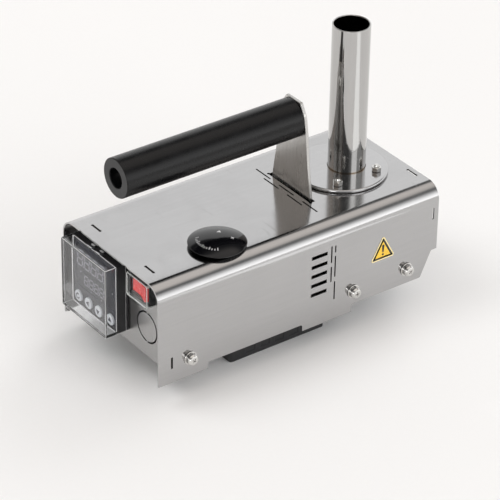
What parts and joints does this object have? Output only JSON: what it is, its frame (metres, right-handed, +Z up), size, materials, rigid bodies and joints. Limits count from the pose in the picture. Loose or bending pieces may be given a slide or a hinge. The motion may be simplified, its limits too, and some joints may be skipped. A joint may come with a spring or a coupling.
{
  "type": "bee smoker",
  "caption": "Handheld electric bee smoker: folded stainless box, upright filler tube on a flange, sleeve grip, temperature controller, rocker switch, dial and battery dock.",
  "frame": {"origin": "bottom centre of the whole object, on the plane of the battery dock's underside", "axes": "+X to the right seen from the controller end, +Y from the controller towards the filler tube and outlet, +Z up along the filler tube"},
  "size_m": [0.1122, 0.2418, 0.183],
  "materials": {
    "cover_steel": "satin stainless sheet, brushed lengthwise",
    "panel_steel": "satin stainless sheet",
    "plate_steel": "vertically brushed stainless plate",
    "polished_steel": "polished stainless",
    "fastener_steel": "bright stainless hardware",
    "chamber_brass": "turned",
    "contact_brass": "stamped",
    "grip_rubber": "smooth foam rubber sleeve",
    "gasket_rubber": "matte",
    "black_plastic": "fine moulded texture",
    "knob_black": "glossy moulded, with printed marks",
    "face_film": "printed film",
    "display_film": "smoked window",
    "key_white": "white with dark arrows",
    "clear_plastic": "clear moulded plastic",
    "clear_rubber": "clear soft boot",
    "rocker_red": "translucent red",
    "terminal_green": "moulded",
    "relay_plastic": "moulded with finned top",
    "insulation_felt": "ceramic fibre felt",
    "label_yellow": null
  },
  "bodies": {
    "root": {"cover": "cover_steel", "base_tray": "panel_steel", "rear_panel": "panel_steel", "controller_housing": "black_plastic", "controller_face": "face_film", "display_window": "display_film", "controller_gasket": "gasket_rubber", "mounting_clamp": "black_plastic", "terminal_block": "terminal_green", "switch_housing": "black_plastic", "switch_boot": "clear_rubber", "switch_terminal_left": "contact_brass", "switch_terminal_right": "contact_brass", "control_nut": "fastener_steel", "control_body": "black_plastic", "handle_plate": "plate_steel", "handle_rod": "fastener_steel", "handle_grip": "grip_rubber", "handle_bolt": "fastener_steel", "filler_tube": "polished_steel", "tube_flange": "polished_steel", "flange_nut_1": "fastener_steel", "flange_nut_2": "fastener_steel", "flange_nut_3": "fastener_steel", "flange_nut_4": "fastener_steel", "flange_stud_1": "fastener_steel", "flange_stud_2": "fastener_steel", "flange_stud_3": "fastener_steel", "flange_stud_4": "fastener_steel", "vapour_chamber": "chamber_brass", "cartridge_heater_left": "fastener_steel", "cartridge_heater_right": "fastener_steel", "thermocouple": "fastener_steel", "insulation_sleeve": "insulation_felt", "outlet_nozzle": "polished_steel", "power_relay": "relay_plastic", "battery_dock": "black_plastic", "dock_contact_left": "contact_brass", "dock_contact_right": "contact_brass", "side_screw_1": "fastener_steel", "side_screw_2": "fastener_steel", "side_screw_3": "fastener_steel", "side_screw_4": "fastener_steel", "side_screw_5": "fastener_steel", "side_screw_6": "fastener_steel", "side_washer_1": "fastener_steel", "side_washer_2": "fastener_steel", "side_washer_3": "fastener_steel", "side_washer_4": "fastener_steel", "side_washer_5": "fastener_steel", "side_washer_6": "fastener_steel", "caution_label": "label_yellow"},
    "rocker": {"rocker": "rocker_red"},
    "dial": {"knob": "knob_black", "knob_spindle": "fastener_steel"},
    "set_key": {"key_set": "key_white"},
    "shift_key": {"key_shift": "key_white"},
    "down_key": {"key_down": "key_white"},
    "up_key": {"key_up": "key_white"},
    "splash_cover": {"clear_cover": "clear_plastic"}
  },
  "joints": [
    {"name": "rocker_tilt", "type": "hinge", "parent": "root", "child": "rocker", "pos_m": [0.0252, -0.10405, 0.0678], "axis": [0, 0, 1], "range_deg": [0, 18]},
    {"name": "dial_turn", "type": "hinge", "parent": "root", "child": "dial", "pos_m": [0.0291, -0.05505, 0.082], "axis": [0, 0, 1], "range_deg": [-135, 135]},
    {"name": "set_key_press", "type": "slide", "parent": "root", "child": "set_key", "axis": [0, 1, 0], "range_m": [0, 0.0006], "stiffness_N_per_m": 600, "springref_m": -0.0004},
    {"name": "shift_key_press", "type": "slide", "parent": "root", "child": "shift_key", "axis": [0, 1, 0], "range_m": [0, 0.0006], "stiffness_N_per_m": 600, "springref_m": -0.0004},
    {"name": "down_key_press", "type": "slide", "parent": "root", "child": "down_key", "axis": [0, 1, 0], "range_m": [0, 0.0006], "stiffness_N_per_m": 600, "springref_m": -0.0004},
    {"name": "up_key_press", "type": "slide", "parent": "root", "child": "up_key", "axis": [0, 1, 0], "range_m": [0, 0.0006], "stiffness_N_per_m": 600, "springref_m": -0.0004},
    {"name": "splash_cover_pull", "type": "slide", "parent": "root", "child": "splash_cover", "axis": [0, -1, 0], "range_m": [0, 0.02]}
  ]
}
